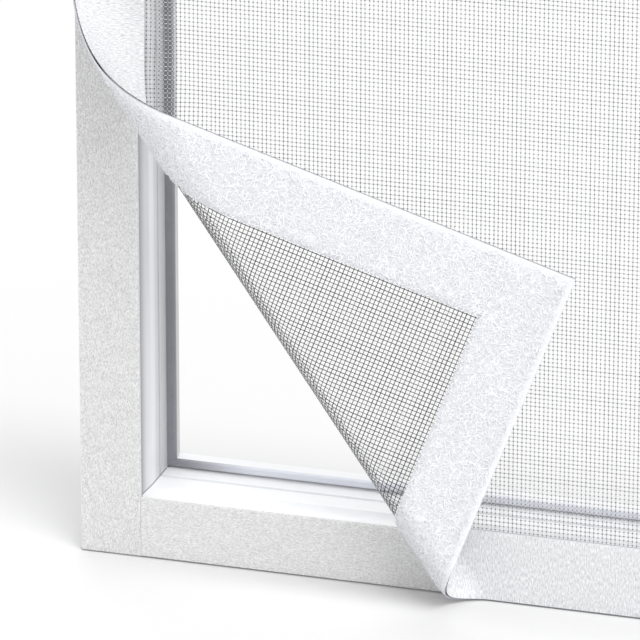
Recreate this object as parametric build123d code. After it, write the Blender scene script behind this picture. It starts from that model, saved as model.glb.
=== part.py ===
from build123d import *
import math
import os

# Hook-and-loop insect screen on a small window frame, in millimetres.
# X runs to the right, Y from the viewer into the window, Z up.
# The origin is the middle of the frame's underside.

# Window frame: hollow mitred profile
OUTER_WIDTH = 320.0
OUTER_HEIGHT = 320.0
FACE_WIDTH = 19.0
FRAME_DEPTH = 36.0
PROFILE_WALL = 1.5
EDGE_ROUND = 0.5

# Reveal of the profile, from the front face backwards
NOSE_LENGTH = 0.6
COVE_LENGTH = 8.4
COVE_DEPTH = 2.0
GROOVE_FROM_FRONT = 16.5
GROOVE_WIDTH = 1.4
GROOVE_DEPTH = 0.9
LIP_FROM_FRONT = 25.5
LIP_HEIGHT = 2.6
LIP_THICKNESS = 1.8

# Seal strip on the front of the lip, narrower on the sill
SEAL_THICKNESS = 1.6
SILL_SEAL_WIDTH = 1.8
SEAL_ROUND = 0.6

# Corner cleats inside the front chamber of the profile
CLEAT_LEG = 46.0
CLEAT_FIT = 0.1

# Hook tape on the frame's face
HOOK_BASE = 0.4
HOOK_FIELD = 0.5
HOOK_MARGIN = 0.1

# Screen: mesh sheet with a border of loop tape behind and woven tape in front
SCREEN_INSET = 0.5
BORDER_WIDTH = 21.5
PILE_HEIGHT = 0.5
PILE_MARGIN = 1.2
LOOP_BASE = 0.3
MESH_THICKNESS = 0.3
FACE_TAPE_THICKNESS = 0.4
LAYER_CLEARANCE = 0.05

# Stand-in weave: gaps between flat bars, a ridge on each bar
GAP_COLUMNS = 23
GAP_ROWS = 5
BAR_WIDTH = 4.0
RIDGE_WIDTH = 1.0
RIDGE_HEIGHT = 0.12

# Peeled corner: the sheet is wound on a cone that touches it along the fold line.
# The cone's apex is measured from the screen's lower left corner.
APEX_FROM_LEFT = 233.0
APEX_BELOW = 175.0
FOLD_ANGLE = 121.4
CONE_HALF_ANGLE = 2.0
PEEL_TURN = 189.5
CURL_FACETS = 20

FRONT_Y = -FRAME_DEPTH / 2
SHEET_WIDTH = OUTER_WIDTH - 2 * SCREEN_INSET
SHEET_HEIGHT = OUTER_HEIGHT - 2 * SCREEN_INSET

# Layers of the screen, as distances in front of the frame's face
PILE_BACK = HOOK_BASE + HOOK_FIELD
LOOP_BACK = PILE_BACK + PILE_HEIGHT
LOOP_FRONT = LOOP_BACK + LOOP_BASE
MESH_BACK = LOOP_FRONT + LAYER_CLEARANCE
MESH_FRONT = MESH_BACK + MESH_THICKNESS
FACE_BACK = MESH_FRONT + LAYER_CLEARANCE
FACE_FRONT = FACE_BACK + FACE_TAPE_THICKNESS
MESH_MIDDLE = (MESH_BACK + MESH_FRONT) / 2


def edge_plane(side, inset=0.0):
    """Plane at the middle of one outer edge: X inwards, Y into the window, Z along the edge."""
    half_width = OUTER_WIDTH / 2 - inset
    half_height = OUTER_HEIGHT / 2 - inset
    middle = OUTER_HEIGHT / 2
    origins = {
        "left": (-half_width, FRONT_Y, middle),
        "right": (half_width, FRONT_Y, middle),
        "bottom": (0, FRONT_Y, middle - half_height),
        "top": (0, FRONT_Y, middle + half_height),
    }
    inwards = {"left": (1, 0, 0), "right": (-1, 0, 0), "bottom": (0, 0, 1), "top": (0, 0, -1)}
    along = {"left": (0, 0, 1), "right": (0, 0, -1), "bottom": (-1, 0, 0), "top": (1, 0, 0)}
    return Plane(origin=origins[side], x_dir=inwards[side], z_dir=along[side])


def edge_length(side, inset=0.0):
    """Length of the frame, or of a sheet inset in it, along one side."""
    full = OUTER_HEIGHT if side in ("left", "right") else OUTER_WIDTH
    return full - 2 * inset


def run_along(section, side, length, inset=0.0):
    """Extrudes a section drawn on an edge plane along that edge, centred."""
    bar = extrude(section, amount=length / 2, both=True)
    return edge_plane(side, inset) * bar


def mitred(section, side, reach):
    """Runs a section along one side of the frame and cuts both ends at the mitres."""
    half = edge_length(side) / 2
    corners = [(0, -half), (reach, reach - half), (reach, half - reach), (0, half)]
    outline = Plane.XZ * make_face(Polyline([(across, along) for across, along in corners], close=True))
    mask = extrude(outline, amount=FRAME_DEPTH * 2, both=True)
    return run_along(section, side, edge_length(side)) & (edge_plane(side) * mask)


def profile_section():
    """Section of the frame: flat face, coved reveal with a drip groove, stop lip, two chambers."""
    cove_end = NOSE_LENGTH + COVE_LENGTH
    groove_end = GROOVE_FROM_FRONT + GROOVE_WIDTH
    lip_back = LIP_FROM_FRONT + LIP_THICKNESS
    cove_middle = (FACE_WIDTH - COVE_DEPTH, NOSE_LENGTH + COVE_LENGTH / 2)
    cove = ThreePointArc((FACE_WIDTH, NOSE_LENGTH), cove_middle, (FACE_WIDTH, cove_end))
    reveal = Polyline(
        (FACE_WIDTH, cove_end),
        (FACE_WIDTH, GROOVE_FROM_FRONT),
        (FACE_WIDTH - GROOVE_DEPTH, GROOVE_FROM_FRONT),
        (FACE_WIDTH - GROOVE_DEPTH, groove_end),
        (FACE_WIDTH, groove_end),
        (FACE_WIDTH, LIP_FROM_FRONT),
        (FACE_WIDTH + LIP_HEIGHT, LIP_FROM_FRONT),
        (FACE_WIDTH + LIP_HEIGHT, lip_back),
        (FACE_WIDTH, lip_back),
        (FACE_WIDTH, FRAME_DEPTH),
        (0, FRAME_DEPTH),
        (0, 0),
        (FACE_WIDTH, 0),
        (FACE_WIDTH, NOSE_LENGTH),
    )
    solid_section = make_face(cove + reveal)
    outer_corners = solid_section.vertices().group_by(Axis.X)[0]
    rounded = fillet(outer_corners, EDGE_ROUND)
    front_chamber = chamber(PROFILE_WALL, LIP_FROM_FRONT - PROFILE_WALL)
    rear_chamber = chamber(LIP_FROM_FRONT, FRAME_DEPTH - PROFILE_WALL)
    return rounded - front_chamber - rear_chamber


def chamber(front, back, fit=0.0):
    """Rectangular chamber of the profile between two depths, or what fits in it."""
    inner_wall = FACE_WIDTH - max(COVE_DEPTH, GROOVE_DEPTH) - PROFILE_WALL
    width = inner_wall - PROFILE_WALL - 2 * fit
    depth = back - front - 2 * fit
    return Pos(PROFILE_WALL + fit, front + fit) * Rectangle(width, depth, align=Align.MIN)


def seal_section(width):
    """Section of the seal strip, at the edge of the lip with its inner front edge rounded."""
    front = LIP_FROM_FRONT - SEAL_THICKNESS
    outer_edge = FACE_WIDTH + LIP_HEIGHT - width
    strip = Pos(outer_edge, front) * Rectangle(width, SEAL_THICKNESS, align=Align.MIN)
    inner_front = strip.vertices().group_by(Axis.X)[-1].sort_by(Axis.Y)[0]
    return fillet(inner_front, SEAL_ROUND)


def corner_cleat(horizontal, vertical):
    """Two legs at right angles, inside the front chambers of a stile and a rail."""
    section = chamber(PROFILE_WALL, LIP_FROM_FRONT - PROFILE_WALL, CLEAT_FIT)
    reach = FACE_WIDTH
    rail_leg = mitred(section, vertical, reach)
    stile_leg = mitred(section, horizontal, reach)
    sign_x = -1 if horizontal == "left" else 1
    corner_z = 0 if vertical == "bottom" else OUTER_HEIGHT
    corner = Pos(sign_x * OUTER_WIDTH / 2, 0, corner_z)
    zone = corner * Box(2 * CLEAT_LEG, 2 * FRAME_DEPTH, 2 * CLEAT_LEG)
    return (rail_leg & zone) + (stile_leg & zone)


def stepped_section(width, margin, base_edge, step, field_edge):
    """Tape section: a full-width base and a raised field between two plain margins.

    Depths are given as distances in front of the frame's face.
    """
    return [
        (0, base_edge),
        (0, step),
        (margin, step),
        (margin, field_edge),
        (width - margin, field_edge),
        (width - margin, step),
        (width, step),
        (width, base_edge),
    ]


def plain_section(width, back, front):
    """Section of a plain tape between two distances in front of the frame's face."""
    return [(0, back), (0, front), (width, front), (width, back)]


def section_face(points):
    """Face on an edge plane from points given as width and distance in front of the frame."""
    return make_face(Polyline([(across, -height) for across, height in points], close=True))


def hook_tape(side):
    """Hook tape on the frame's face: full height on the stiles, between them on the rails."""
    width = FACE_WIDTH - EDGE_ROUND
    points = stepped_section(width, HOOK_MARGIN, 0, HOOK_BASE, HOOK_BASE + HOOK_FIELD)
    length = edge_length(side, EDGE_ROUND)
    if side in ("bottom", "top"):
        length -= 2 * width
    return run_along(section_face(points), side, length, EDGE_ROUND)


def border_tape(side, points):
    """Border tape of the screen, laid flat: full height at the sides, between them elsewhere."""
    length = edge_length(side, SCREEN_INSET)
    if side in ("bottom", "top"):
        length -= 2 * BORDER_WIDTH
    return run_along(section_face(points), side, length, SCREEN_INSET)


class Peel:
    """The peeled corner: a sheet that leaves its plane along a fold line and winds on a cone."""

    def __init__(self):
        self.half_angle = math.radians(CONE_HALF_ANGLE)
        self.fold = math.radians(FOLD_ANGLE)
        self.turn = math.radians(PEEL_TURN)
        self.wound = self.turn * math.sin(self.half_angle)
        self.apex = Vector(
            APEX_FROM_LEFT + SCREEN_INSET - OUTER_WIDTH / 2, FRONT_Y - MESH_MIDDLE, SCREEN_INSET - APEX_BELOW
        )
        self.along = Vector(math.cos(self.fold), 0, math.sin(self.fold))
        self.flat_side = Vector(math.sin(self.fold), 0, -math.cos(self.fold))
        self.front = Vector(0, -1, 0)
        self.axis = self.along * math.cos(self.half_angle) + self.front * math.sin(self.half_angle)
        self.lift = self.front * math.cos(self.half_angle) - self.along * math.sin(self.half_angle)

    def flat_ruling(self, angle):
        """Direction of a straight line through the apex while the sheet is flat."""
        return self.along * math.cos(angle) - self.flat_side * math.sin(angle)

    def flat_tangent(self, angle):
        """Direction across that line, towards the sheet's corner."""
        return self.along * -math.sin(angle) - self.flat_side * math.cos(angle)

    def wound_ruling(self, angle):
        """Direction of the same line once the sheet is wound on the cone."""
        around = angle / math.sin(self.half_angle)
        outwards = self.lift * -math.cos(around) - self.flat_side * math.sin(around)
        return self.axis * math.cos(self.half_angle) + outwards * math.sin(self.half_angle)

    def wound_normal(self, angle):
        """Direction of the wound sheet's front face along that line, towards the cone's axis."""
        around = angle / math.sin(self.half_angle)
        inwards = self.lift * math.cos(around) + self.flat_side * math.sin(around)
        return inwards * math.cos(self.half_angle) + self.axis * math.sin(self.half_angle)

    def distance(self, edge, offset, angle):
        """Distance from the apex to a line at an offset from the sheet's left or bottom edge."""
        if edge == "left":
            return (offset - APEX_FROM_LEFT) / math.cos(self.fold + angle)
        return (offset + APEX_BELOW) / math.sin(self.fold + angle)

    def curl(self, corners):
        """Lofts a section round the cone in flat facets.

        Each corner of the section is an edge of the sheet, an offset from it and a height.
        """
        sections = []
        for index in range(CURL_FACETS + 1):
            angle = self.wound * index / CURL_FACETS
            ruling = self.wound_ruling(angle)
            normal = self.wound_normal(angle)
            points = []
            for edge, offset, height in corners:
                reach = self.distance(edge, offset, angle)
                points.append(self.apex + ruling * reach + normal * (height - MESH_MIDDLE))
            sections.append(Wire.make_polygon(points))
        return Solid.make_loft(sections, ruled=True)

    def stays(self, sheet):
        """The part of a flat sheet that stays in its plane."""
        cut = Plane(origin=self.apex, x_dir=self.front, z_dir=self.flat_side)
        return split(sheet, bisect_by=cut, keep=Keep.TOP)

    def flap(self, sheet):
        """The flat corner of a sheet beyond the wound part, carried to its place in front."""
        cut = Plane(origin=self.apex, x_dir=self.front, z_dir=self.flat_tangent(self.wound))
        corner = split(sheet, bisect_by=cut, keep=Keep.TOP)
        start = Plane(origin=self.apex, x_dir=self.flat_ruling(self.wound), z_dir=self.front)
        end = Plane(origin=self.apex, x_dir=self.wound_ruling(self.wound), z_dir=self.wound_normal(self.wound))
        return corner.moved(end.location * start.location.inverse())

    def peeled(self, sheet, corners):
        """A flat sheet with its corner peeled, as one solid."""
        return self.stays(sheet) + self.curl(corners) + self.flap(sheet)

    def curl_zone(self, margin):
        """Wedge of the flat sheet that is wound on the cone, widened on both sides by a margin."""
        far = OUTER_WIDTH + OUTER_HEIGHT
        apex = self.apex - self.front * far / 2
        corners = [
            apex + self.flat_side * margin,
            apex + self.along * far + self.flat_side * margin,
            apex + self.flat_ruling(self.wound) * far + self.flat_tangent(self.wound) * margin,
            apex + self.flat_tangent(self.wound) * margin,
        ]
        outline = Face(Wire.make_polygon(corners))
        return extrude(outline, amount=far, dir=self.front)


def peeled_tape(peel, side, points):
    """Border tape on the left or at the bottom, which runs through the peeled corner."""
    corners = [(side, across, height) for across, height in points]
    return peel.peeled(border_tape(side, points), corners)


def mesh_weave(sheet, peel):
    """Cuts the gaps of the weave in a flat sheet and raises a ridge on each bar between them."""
    inner_width = SHEET_WIDTH - 2 * BORDER_WIDTH
    inner_height = SHEET_HEIGHT - 2 * BORDER_WIDTH
    pitch_x = inner_width / GAP_COLUMNS
    pitch_z = inner_height / GAP_ROWS
    gap_x = pitch_x - BAR_WIDTH
    gap_z = pitch_z - BAR_WIDTH
    centre_y = FRONT_Y - MESH_MIDDLE
    left = -inner_width / 2
    bottom = OUTER_HEIGHT / 2 - inner_height / 2
    curl_zone = peel.curl_zone(BAR_WIDTH)
    smallest = BAR_WIDTH * BAR_WIDTH * 2 * MESH_THICKNESS
    gaps = []
    for column in range(GAP_COLUMNS):
        for row in range(GAP_ROWS):
            place = Pos(left + (column + 0.5) * pitch_x, centre_y, bottom + (row + 0.5) * pitch_z)
            cell = place * Box(gap_x, 2 * MESH_THICKNESS, gap_z) - curl_zone
            gaps.extend(piece for piece in cell.solids() if piece.volume > smallest)
    front_ridge_y = FRONT_Y - MESH_FRONT - RIDGE_HEIGHT / 2
    back_ridge_y = FRONT_Y - MESH_BACK + RIDGE_HEIGHT / 2
    middle = bottom + inner_height / 2
    wefts = [
        Pos(0, front_ridge_y, bottom + row * pitch_z) * Box(inner_width, RIDGE_HEIGHT, RIDGE_WIDTH)
        for row in range(1, GAP_ROWS)
    ]
    warps = [
        Pos(left + column * pitch_x, back_ridge_y, middle) * Box(RIDGE_WIDTH, RIDGE_HEIGHT, inner_height)
        for column in range(1, GAP_COLUMNS)
    ]
    return (sheet - gaps) + wefts + warps


def insect_mesh(peel):
    """The mesh: one sheet to the screen's outer edges, with its lower left corner peeled."""
    centre = Pos(0, FRONT_Y - MESH_MIDDLE, OUTER_HEIGHT / 2)
    sheet = centre * Box(SHEET_WIDTH, MESH_THICKNESS, SHEET_HEIGHT)
    corners = [
        ("bottom", 0, MESH_BACK),
        ("bottom", 0, MESH_FRONT),
        ("left", 0, MESH_FRONT),
        ("left", 0, MESH_BACK),
    ]
    return peel.peeled(mesh_weave(sheet, peel), corners)


def build():
    """All pieces of the framed screen by name."""
    sides = ("left", "right", "bottom", "top")
    member_names = {
        "left": "frame_left_stile",
        "right": "frame_right_stile",
        "bottom": "frame_bottom_rail",
        "top": "frame_top_rail",
    }
    peel = Peel()
    reach = FACE_WIDTH + LIP_HEIGHT
    loop_points = stepped_section(BORDER_WIDTH, PILE_MARGIN, LOOP_FRONT, LOOP_BACK, PILE_BACK)
    face_points = plain_section(BORDER_WIDTH, FACE_BACK, FACE_FRONT)
    pieces = {}
    for side in sides:
        seal_width = SILL_SEAL_WIDTH if side == "bottom" else LIP_HEIGHT
        pieces[member_names[side]] = mitred(profile_section(), side, reach)
        pieces[f"seal_{side}"] = mitred(seal_section(seal_width), side, reach)
        pieces[f"hook_tape_{side}"] = hook_tape(side)
        for name, points in (("loop_tape", loop_points), ("face_tape", face_points)):
            if side in ("left", "bottom"):
                pieces[f"{name}_{side}"] = peeled_tape(peel, side, points)
            else:
                pieces[f"{name}_{side}"] = border_tape(side, points)
    for horizontal in ("left", "right"):
        for vertical in ("bottom", "top"):
            pieces[f"corner_cleat_{vertical}_{horizontal}"] = corner_cleat(horizontal, vertical)
    pieces["insect_mesh"] = insect_mesh(peel)
    return pieces


os.makedirs("parts", exist_ok=True)
for node, piece in build().items():
    export_step(piece, os.path.join("parts", f"{node}.step"))
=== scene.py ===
"""Dressed scene of a hook-and-loop insect screen whose lower left corner is peeled off its frame."""

import logging
import math
from dataclasses import dataclass
from enum import Enum

import bmesh
import bpy
import numpy as np
from mathutils import Matrix, Vector


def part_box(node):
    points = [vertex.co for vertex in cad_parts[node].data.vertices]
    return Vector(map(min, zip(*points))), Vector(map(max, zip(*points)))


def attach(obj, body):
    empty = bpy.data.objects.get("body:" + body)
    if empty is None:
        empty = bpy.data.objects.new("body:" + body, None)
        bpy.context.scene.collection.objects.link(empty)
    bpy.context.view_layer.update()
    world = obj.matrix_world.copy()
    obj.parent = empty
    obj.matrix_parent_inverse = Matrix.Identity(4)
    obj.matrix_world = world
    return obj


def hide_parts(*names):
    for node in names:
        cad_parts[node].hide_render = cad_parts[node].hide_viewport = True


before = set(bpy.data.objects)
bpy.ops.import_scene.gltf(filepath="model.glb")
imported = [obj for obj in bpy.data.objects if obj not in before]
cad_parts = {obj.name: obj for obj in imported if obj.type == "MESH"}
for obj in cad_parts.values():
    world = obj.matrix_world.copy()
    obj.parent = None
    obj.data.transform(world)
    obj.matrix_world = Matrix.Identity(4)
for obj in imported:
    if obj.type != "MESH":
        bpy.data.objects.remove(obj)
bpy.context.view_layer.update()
MM = 0.001
# Painted shade along the cut edges of the tapes.
EDGE_SHADE_TONE = -1.3
SELVEDGE_WIDTH = 2.6 * MM
GRAIN_RANGE = (0.3, 0.7)
GLOSS_SPREAD = 0.08
LOG = logging.getLogger("insect_screen")

Socket = bpy.types.NodeSocket
Material = bpy.types.Material
Mesh = bpy.types.Mesh
Piece = bpy.types.Object
Shape = bmesh.types.BMesh
Colour = tuple[float, float, float]
Range = tuple[float, float]


class Side(Enum):
    """The four sides of the frame and of the screen's border."""

    LEFT = "left"
    RIGHT = "right"
    BOTTOM = "bottom"
    TOP = "top"


@dataclass(frozen=True)
class Layers:
    """Place of the screen and heights of its layers, in front of the middle of the mesh."""

    left: float
    bottom: float
    width: float
    height: float
    border: float
    mesh_y: float
    pile_back: float
    loop_back: float
    loop_front: float
    face_back: float
    face_front: float

    @classmethod
    def from_frame(cls, pile_height: float = 0.5 * MM) -> "Layers":
        """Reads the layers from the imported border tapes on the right, which lie flat.

        Args:
            pile_height: How far the pile stands out from the base of the loop tape.

        Returns:
            The layers of this screen.
        """
        face_low, face_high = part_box("face_tape_right")
        loop_low, loop_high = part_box("loop_tape_right")
        mesh_y = (loop_low[1] + face_high[1]) / 2
        return cls(
            left=-face_high[0],
            bottom=face_low[2],
            width=2 * face_high[0],
            height=face_high[2] - face_low[2],
            border=face_high[0] - face_low[0],
            mesh_y=mesh_y,
            pile_back=mesh_y - loop_high[1],
            loop_back=mesh_y - loop_high[1] + pile_height,
            loop_front=mesh_y - loop_low[1],
            face_back=mesh_y - face_high[1],
            face_front=mesh_y - face_low[1],
        )

    def tape_area(self, side: Side) -> tuple[float, float, float, float]:
        """Gives the flat area of a border tape.

        Args:
            side: The side of the screen that the tape lies on.

        Returns:
            Left, bottom, right and top of the tape on the flat sheet.
        """
        inner_right = self.width - self.border
        inner_top = self.height - self.border
        areas = {
            Side.LEFT: (0.0, 0.0, self.border, self.height),
            Side.RIGHT: (inner_right, 0.0, self.width, self.height),
            Side.BOTTOM: (self.border, 0.0, inner_right, self.border),
            Side.TOP: (self.border, inner_top, inner_right, self.height),
        }
        return areas[side]


@dataclass(frozen=True)
class Peel:
    """Lays a flat sheet on the screen, with its corner wound on a cone and folded to the front."""

    layers: Layers
    apex_from_left: float = 233.0 * MM
    apex_below: float = 175.0 * MM
    fold_angle: float = math.radians(121.4)
    half_angle: float = math.radians(2.0)
    turn: float = math.radians(189.5)
    rear_share: float = 0.4

    def beyond_fold(self, flat: np.ndarray) -> np.ndarray:
        """Measures how far flat points lie beyond the fold line, towards the loose corner.

        Args:
            flat: Points on the flat sheet, one row each.

        Returns:
            One distance for each point, negative where the sheet stays on the frame.
        """
        from_apex = flat[:, :2] - np.array([self.apex_from_left, -self.apex_below])
        return from_apex @ np.array([-math.sin(self.fold_angle), math.cos(self.fold_angle)])

    def behind_flap(self, flat: np.ndarray, sight: Range, inset: float) -> np.ndarray:
        """Finds the flat points behind the folded corner: on the frame or at the rear of the curl.

        Args:
            flat: Points on the flat sheet, one row each.
            sight: How far to the right and upwards the line of sight moves before it meets the corner.
            inset: Distance from the corner's edges within which points do not count.

        Returns:
            True for each such point.
        """
        seen = flat[:, :2] + np.array(sight)
        from_apex = seen - np.array([self.apex_from_left, -self.apex_below])
        reach = np.hypot(from_apex[:, 0], from_apex[:, 1])
        forward = from_apex @ np.array([math.cos(self.fold_angle), math.sin(self.fold_angle)])
        angle = np.arctan2(self.beyond_fold(seen), forward)
        folded = self.fold_angle + self.turn * math.sin(self.half_angle) - angle
        from_left = self.apex_from_left + reach * np.cos(folded)
        from_bottom = reach * np.sin(folded) - self.apex_below
        wound_rear = self.rear_share * self.turn * math.sin(self.half_angle) * reach
        return (self.beyond_fold(flat) < wound_rear) & (from_left > inset) & (from_bottom > inset)

    def place(self, flat: np.ndarray) -> np.ndarray:
        """Carries flat points to their place in the peeled screen.

        Args:
            flat: Rows of distance from the left edge, distance from the bottom edge and height.

        Returns:
            Rows of X, Y and Z in the shared frame.
        """
        cosine, sine = math.cos(self.half_angle), math.sin(self.half_angle)
        along = np.array([math.cos(self.fold_angle), 0.0, math.sin(self.fold_angle)])
        flat_side = np.array([math.sin(self.fold_angle), 0.0, -math.cos(self.fold_angle)])
        front = np.array([0.0, -1.0, 0.0])
        axis = cosine * along + sine * front
        lift = cosine * front - sine * along
        from_apex = flat[:, :2] - np.array([self.apex_from_left, -self.apex_below])
        reach = np.hypot(from_apex[:, 0], from_apex[:, 1])
        forward = from_apex @ along[[0, 2]]
        angle = np.arctan2(self.beyond_fold(flat), forward)
        around = np.clip(angle / sine, 0.0, self.turn)
        rest = angle - around * sine
        inwards = np.outer(np.cos(around), lift) + np.outer(np.sin(around), flat_side)
        ruling = cosine * axis - sine * inwards
        tangent = np.outer(np.sin(around), lift) - np.outer(np.cos(around), flat_side)
        normal = cosine * inwards + sine * axis
        apex = np.array(
            [self.layers.left + self.apex_from_left, self.layers.mesh_y, self.layers.bottom - self.apex_below]
        )
        on_sheet = np.cos(rest)[:, None] * ruling + np.sin(rest)[:, None] * tangent
        return apex + reach[:, None] * on_sheet + flat[:, 2:3] * normal


class ShaderTree:
    """Adds nodes to a material, a world or a group in a few words."""

    def __init__(self, tree: bpy.types.NodeTree) -> None:
        """Keeps the tree that the nodes go into."""
        self.tree = tree

    @classmethod
    def of(cls, owner: Material | bpy.types.World) -> "ShaderTree":
        """Empties the nodes of a material or a world, ready for new ones."""
        owner.use_nodes = True
        owner.node_tree.nodes.clear()
        return cls(owner.node_tree)

    def add(self, kind: str, inputs: dict | None = None, **settings: object) -> bpy.types.Node:
        """Adds one node.

        Args:
            kind: The node's type name.
            inputs: Values or sockets by the name or number of the node's input.
            **settings: Properties of the node.

        Returns:
            The new node.
        """
        node = self.tree.nodes.new(kind)
        for key, value in settings.items():
            setattr(node, key, value)
        for key, value in (inputs or {}).items():
            if isinstance(value, Socket):
                self.tree.links.new(value, node.inputs[key])
            else:
                node.inputs[key].default_value = value
        return node

    def object_place(self) -> Socket:
        """Gives the point's place in the shared frame."""
        return self.add("ShaderNodeTexCoord").outputs["Object"]

    def sheet_place(self) -> Socket:
        """Gives the point's place on the flat sheet."""
        return self.add("ShaderNodeUVMap", uv_map="flat").outputs["UV"]

    def split(self, place: Socket) -> tuple[Socket, ...]:
        """Splits a place into its three coordinates."""
        return tuple(self.add("ShaderNodeSeparateXYZ", {"Vector": place}).outputs)

    def math(self, operation: str, *values: Socket | float) -> Socket:
        """Works out a value from one or two sockets or numbers."""
        return self.add("ShaderNodeMath", dict(enumerate(values)), operation=operation).outputs[0]

    def remap(self, value: Socket, source: Range, target: Range = (0.0, 1.0), smooth: bool = False) -> Socket:
        """Carries a value from one range to another and holds it inside.

        Args:
            value: The value.
            source: Range that it comes from.
            target: Range that it goes to.
            smooth: Whether the change starts and ends gently.

        Returns:
            The value in its new range.
        """
        limits = dict(zip(("From Min", "From Max", "To Min", "To Max"), source + target))
        curve = "SMOOTHSTEP" if smooth else "LINEAR"
        node = self.add("ShaderNodeMapRange", {"Value": value, **limits}, interpolation_type=curve)
        return node.outputs["Result"]

    def mix_colours(self, share: Socket, dark: Colour, pale: Colour, clamp: bool = True) -> Socket:
        """Mixes two colours.

        Args:
            share: Share of the pale colour.
            dark: Colour at a share of 0.
            pale: Colour at a share of 1.
            clamp: Whether shares outside 0 to 1 are held there.

        Returns:
            The mixed colour.
        """
        ends = {"Factor": share, "A": (*dark, 1.0), "B": (*pale, 1.0)}
        return self.add("ShaderNodeMix", ends, data_type="RGBA", clamp_factor=clamp).outputs["Result"]

    def grain(self, place: Socket, per_metre: float, softness: float) -> Socket:
        """Places the shared grain and gives its value from 0 to 1."""
        values = {"Vector": place, "Scale": per_metre, "Softness": softness}
        return self.add("ShaderNodeGroup", values, node_tree=GrainGroup.get()).outputs["Grain"]

    def relief(self, height: Socket, depth: float) -> Socket:
        """Turns a height from 0 to 1 into a normal, for a relief of the given depth."""
        values = {"Height": height, "Strength": 1.0, "Distance": depth}
        return self.add("ShaderNodeBump", values).outputs["Normal"]

    def surface(self, inputs: dict) -> None:
        """Ends a material with the shader of its surface."""
        shader = self.add("ShaderNodeBsdfPrincipled", inputs)
        self.add("ShaderNodeOutputMaterial", {"Surface": shader.outputs["BSDF"]})


class GrainGroup:
    """Shader group shared by the finishes: a fine grain that can be drawn out along one direction."""

    NAME = "fine_grain"
    BROAD_SHARE = 0.06

    @classmethod
    def get(cls) -> bpy.types.NodeTree:
        """Builds the group once.

        Returns:
            A group with Vector, Scale and Softness going in and Grain, from 0 to 1, coming out.
        """
        found = bpy.data.node_groups.get(cls.NAME)
        if found:
            return found
        group = bpy.data.node_groups.new(cls.NAME, "ShaderNodeTree")
        for name, kind in (("Vector", "Vector"), ("Scale", "Float"), ("Softness", "Float")):
            group.interface.new_socket(name, in_out="INPUT", socket_type=f"NodeSocket{kind}")
        group.interface.new_socket("Grain", in_out="OUTPUT", socket_type="NodeSocketFloat")
        tree = ShaderTree(group)
        given = tree.add("NodeGroupInput").outputs
        fine = tree.add(
            "ShaderNodeTexNoise",
            {"Vector": given["Vector"], "Scale": given["Scale"], "Detail": 3.0, "Roughness": 0.7},
        )
        broad_scale = tree.math("MULTIPLY", given["Scale"], cls.BROAD_SHARE)
        broad = tree.add(
            "ShaderNodeTexNoise", {"Vector": given["Vector"], "Scale": broad_scale, "Detail": 2.0}
        )
        ends = {"A": fine.outputs["Fac"], "B": broad.outputs["Fac"]}
        blend = tree.add("ShaderNodeMix", {"Factor": given["Softness"], **ends})
        tree.add("NodeGroupOutput", {"Grain": blend.outputs["Result"]})
        return group


@dataclass(frozen=True)
class Finish:
    """A finish with a fine grain in its colour, gloss and relief."""

    name: str
    pale: Colour
    dark: Colour
    roughness: float
    grain_per_metre: float
    stretch: tuple[float, float, float] = (1.0, 1.0, 1.0)
    softness: float = 0.25
    relief: float = 0.1 * MM
    metallic: float = 0.0
    sheen: float = 0.0
    on_sheet: bool = False
    edge_shade: float = 0.0
    selvedge: float = 0.0

    def along_edges(self, tree: ShaderTree, place: Socket, share: Socket) -> Socket:
        """Paints shade along the cut edges of a sheet on its left and at its bottom, and makes its selvedge
        paler.

        Args:
            tree: The material's nodes.
            place: Place on the flat sheet.
            share: Share of the pale colour so far.

        Returns:
            The share, below 0 where shade is painted on the cut edges and above 1 on a selvedge.
        """
        from_left, from_bottom, _ = tree.split(place)
        nearest = tree.math("MINIMUM", from_left, from_bottom)
        edge = tree.remap(nearest, (0.0, self.edge_shade), (EDGE_SHADE_TONE, 0.0))
        rim = tree.remap(nearest, (0.0, SELVEDGE_WIDTH), (self.selvedge, 0.0))
        return tree.math("ADD", tree.math("ADD", share, rim), edge)

    def build(self) -> Material:
        """Builds the material.

        Returns:
            A material on Object coordinates, or on the flat sheet's own map.
        """
        material = bpy.data.materials.new(self.name)
        tree = ShaderTree.of(material)
        place = tree.sheet_place() if self.on_sheet else tree.object_place()
        stretched = tree.add("ShaderNodeMapping", {"Vector": place, "Scale": self.stretch}).outputs["Vector"]
        grain = tree.grain(stretched, self.grain_per_metre, self.softness)
        share = tree.remap(grain, GRAIN_RANGE)
        if self.edge_shade:
            share = self.along_edges(tree, place, share)
        gloss = (self.roughness - GLOSS_SPREAD, self.roughness + GLOSS_SPREAD)
        tree.surface(
            {
                "Base Color": tree.mix_colours(share, self.dark, self.pale, clamp=False),
                "Roughness": tree.remap(grain, (0.0, 1.0), gloss),
                "Metallic": self.metallic,
                "Normal": tree.relief(grain, self.relief),
                "Sheen Weight": self.sheen,
            }
        )
        return material


SEAL_RUBBER = Finish("seal_rubber", (0.28, 0.285, 0.31), (0.21, 0.215, 0.235), 0.55, 2500.0, relief=0.03 * MM)
CLEAT_METAL = Finish(
    "cleat_metal", (0.62, 0.63, 0.64), (0.5, 0.51, 0.52), 0.4, 1500.0, stretch=(1.0, 8.0, 1.0), metallic=1.0
)
# Painted shade: the stiles' hook tape is a slightly darker copy of the rails'.
HOOK_STILE_SHADED = Finish(
    "hook_tape_upright", (1.0, 1.0, 1.0), (0.52, 0.52, 0.525), 0.6, 3000.0,
    stretch=(1.0, 1.0, 0.45), softness=0.02, relief=0.3 * MM,
)
HOOK_RAIL = Finish(
    "hook_tape_level", (1.0, 1.0, 1.0), (0.57, 0.57, 0.575), 0.6, 3000.0,
    stretch=(0.45, 1.0, 1.0), softness=0.02, relief=0.3 * MM,
)
HOOK_TIPS = Finish("hook_tips", (0.95, 0.95, 0.95), (0.8, 0.8, 0.8), 0.5, 1200.0, relief=0.0)
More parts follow.
